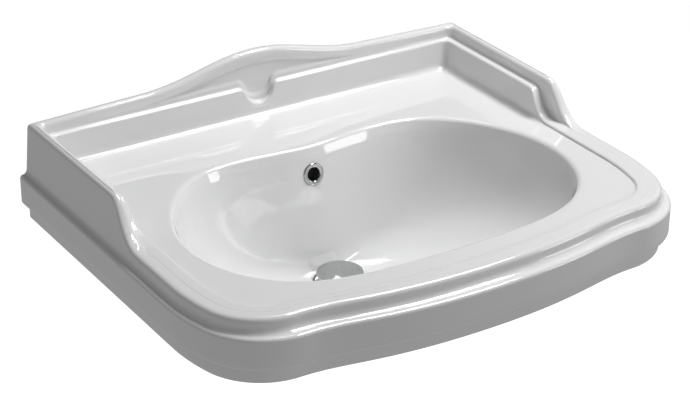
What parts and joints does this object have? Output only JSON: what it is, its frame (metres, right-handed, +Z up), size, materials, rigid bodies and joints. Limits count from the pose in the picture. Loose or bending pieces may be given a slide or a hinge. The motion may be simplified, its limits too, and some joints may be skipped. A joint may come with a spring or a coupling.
{
  "type": "washbasin",
  "caption": "Traditional white glazed washbasin with bow front, splashback and wings, chrome overflow ring and click plug waste, with its wall fixings.",
  "frame": {"origin": "in the wall plane, midway between the two wall fixings, level with the lower edge of the rim's band", "axes": "+X right as seen from the front and along the basin's width, +Y into the wall, +Z up"},
  "size_m": [0.68, 0.611, 0.3455],
  "materials": {
    "glazed_china": "glossy white glaze over vitreous china",
    "polished_chrome": "mirror-polished chrome plate",
    "black_rubber": "smooth moulded rubber",
    "white_foam": "soft white sealing foam",
    "white_nylon": "matte moulded nylon",
    "brass": "turned brass",
    "steel": "bright spring steel",
    "zinc_steel": "zinc-plated steel"
  },
  "bodies": {
    "basin": {"basin": "glazed_china", "overflow_ring": "polished_chrome", "overflow_gasket": "black_rubber", "waste_body": "polished_chrome", "flange_seal": "white_foam", "lower_seal": "black_rubber", "slip_washer": "white_nylon", "backnut": "brass", "cartridge_body": "brass", "cartridge_gland": "brass", "latch_pin": "steel", "cartridge_spring": "steel", "wall_studs": "zinc_steel", "shoulder_washers": "white_nylon", "steel_washers": "zinc_steel", "fixing_nuts": "zinc_steel"},
    "plug": {"plug_piston": "brass", "plug_locknut": "brass", "plug_cap": "polished_chrome", "cap_seal": "black_rubber"}
  },
  "joints": [
    {"name": "plug_slide", "type": "slide", "parent": "basin", "child": "plug", "axis": [0, 0, 1], "range_m": [-0.0085, 0], "stiffness_N_per_m": 300, "springref_m": 0.012, "deforming": ["cartridge_spring"]}
  ]
}
